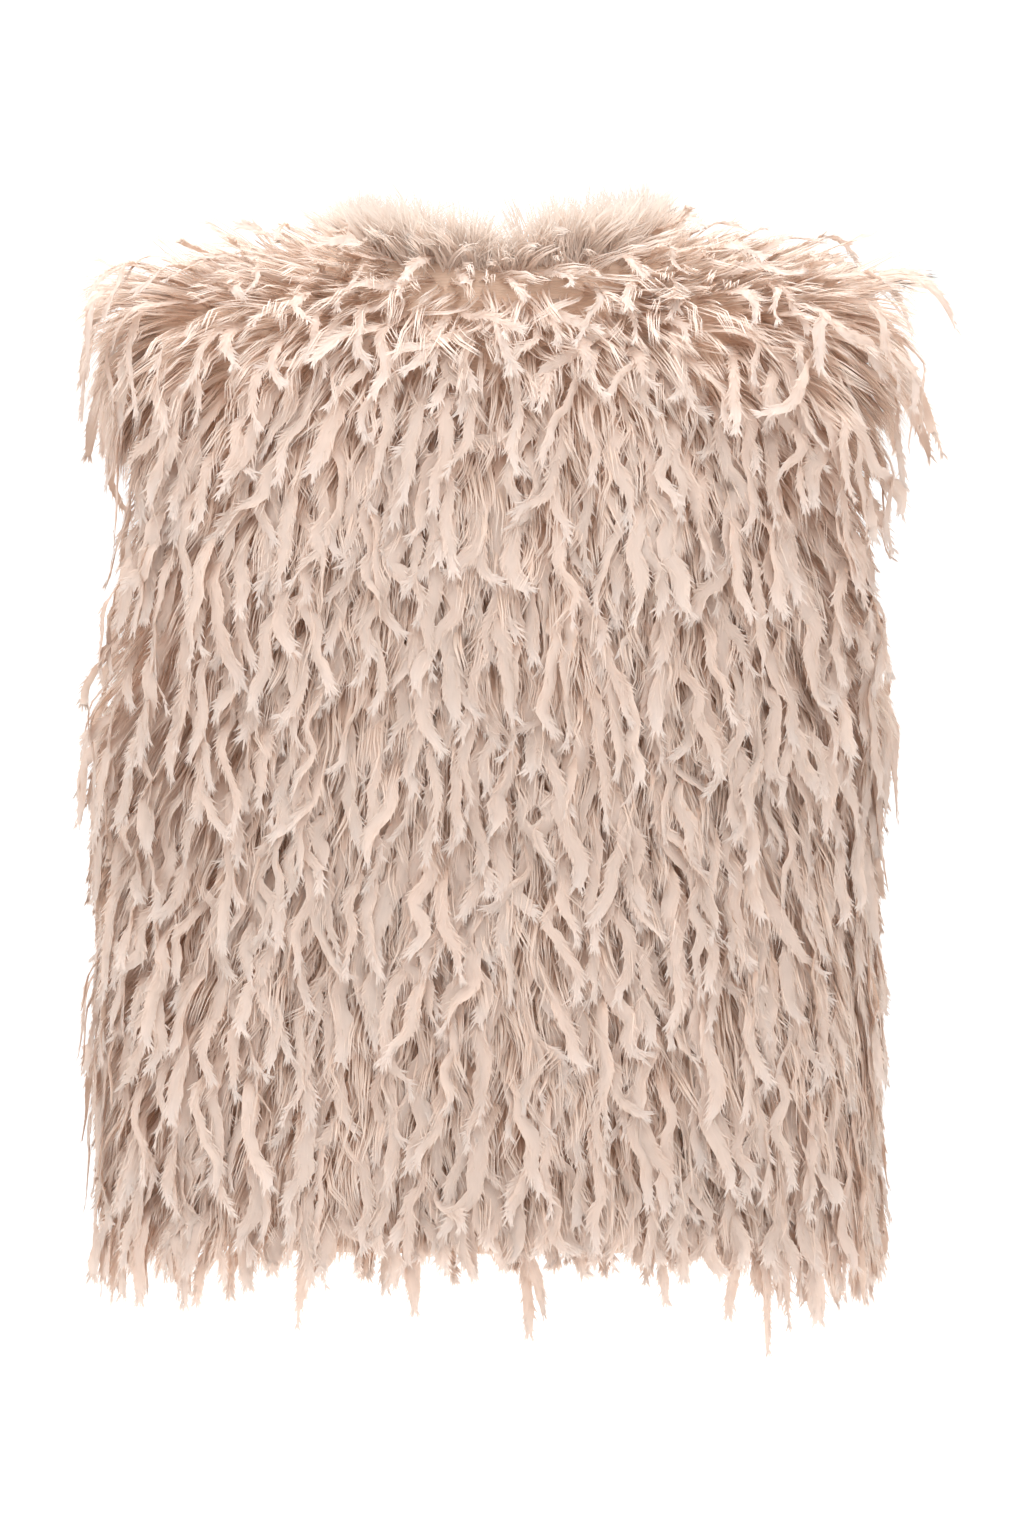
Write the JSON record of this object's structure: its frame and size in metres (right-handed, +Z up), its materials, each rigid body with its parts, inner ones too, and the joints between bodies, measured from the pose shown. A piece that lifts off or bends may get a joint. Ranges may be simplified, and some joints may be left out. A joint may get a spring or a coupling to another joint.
{
  "type": "shaggy fur gilet",
  "caption": "Short sleeveless gilet in long shaggy pile cloth, hollow as worn, with open neck, armholes, hem and edge-to-edge front.",
  "frame": {"origin": "midway between the two points where the shoulder seams meet the neck, at the cloth's inner side, where the wearer's shoulders carry it", "axes": "+Z up, +Y towards the open front, the back faces -Y, +X towards the wearer's right"},
  "size_m": [0.4707, 0.2754, 0.6339],
  "materials": {
    "pile": "matte shaggy pile in pale blush beige",
    "locks": "matte wavy fur locks in pale blush beige"
  },
  "bodies": {
    "root": {"back": "pile", "front_left": "pile", "front_right": "pile", "hem_locks": "locks", "neck_locks": "locks", "armhole_locks_left": "locks", "armhole_locks_right": "locks"}
  },
  "joints": []
}
